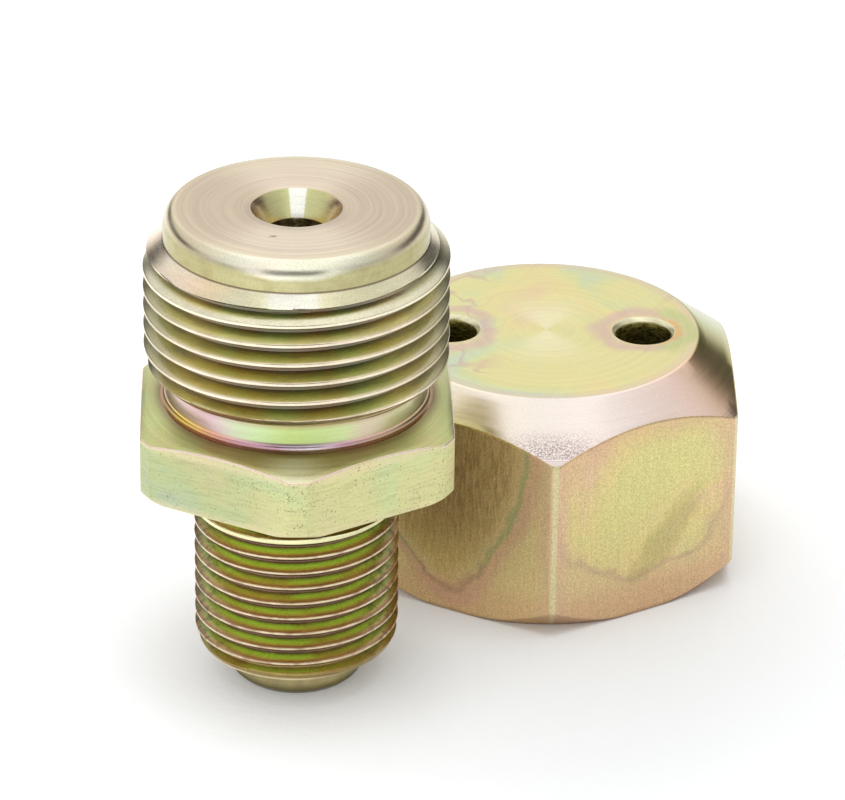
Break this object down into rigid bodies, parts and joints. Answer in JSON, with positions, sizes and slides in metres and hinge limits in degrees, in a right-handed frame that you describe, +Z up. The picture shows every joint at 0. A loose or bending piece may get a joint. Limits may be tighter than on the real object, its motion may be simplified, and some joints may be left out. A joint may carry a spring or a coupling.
{
  "type": "vent cap fitting",
  "caption": "Hydraulic vent fitting: turned hexagon body with a male thread at each end and a through vent bore, and its hexagon cap with vent holes, shown taken off beside it.",
  "frame": {"origin": "centre of the body's foot, where the axis of its vent bore meets the plane that both pieces stand on", "axes": "+Z up along the body's axis from the spigot to the head, -Y towards the viewer of the picture, +X to the viewer's right"},
  "size_m": [0.0533, 0.0592, 0.0448],
  "materials": {
    "body_zinc": "yellow iridescent passivated zinc on turned steel",
    "cap_zinc": "yellow iridescent passivated zinc on turned and drawn steel"
  },
  "bodies": {
    "root": {"fitting_body": "body_zinc", "vent_cap": "cap_zinc"}
  },
  "joints": []
}
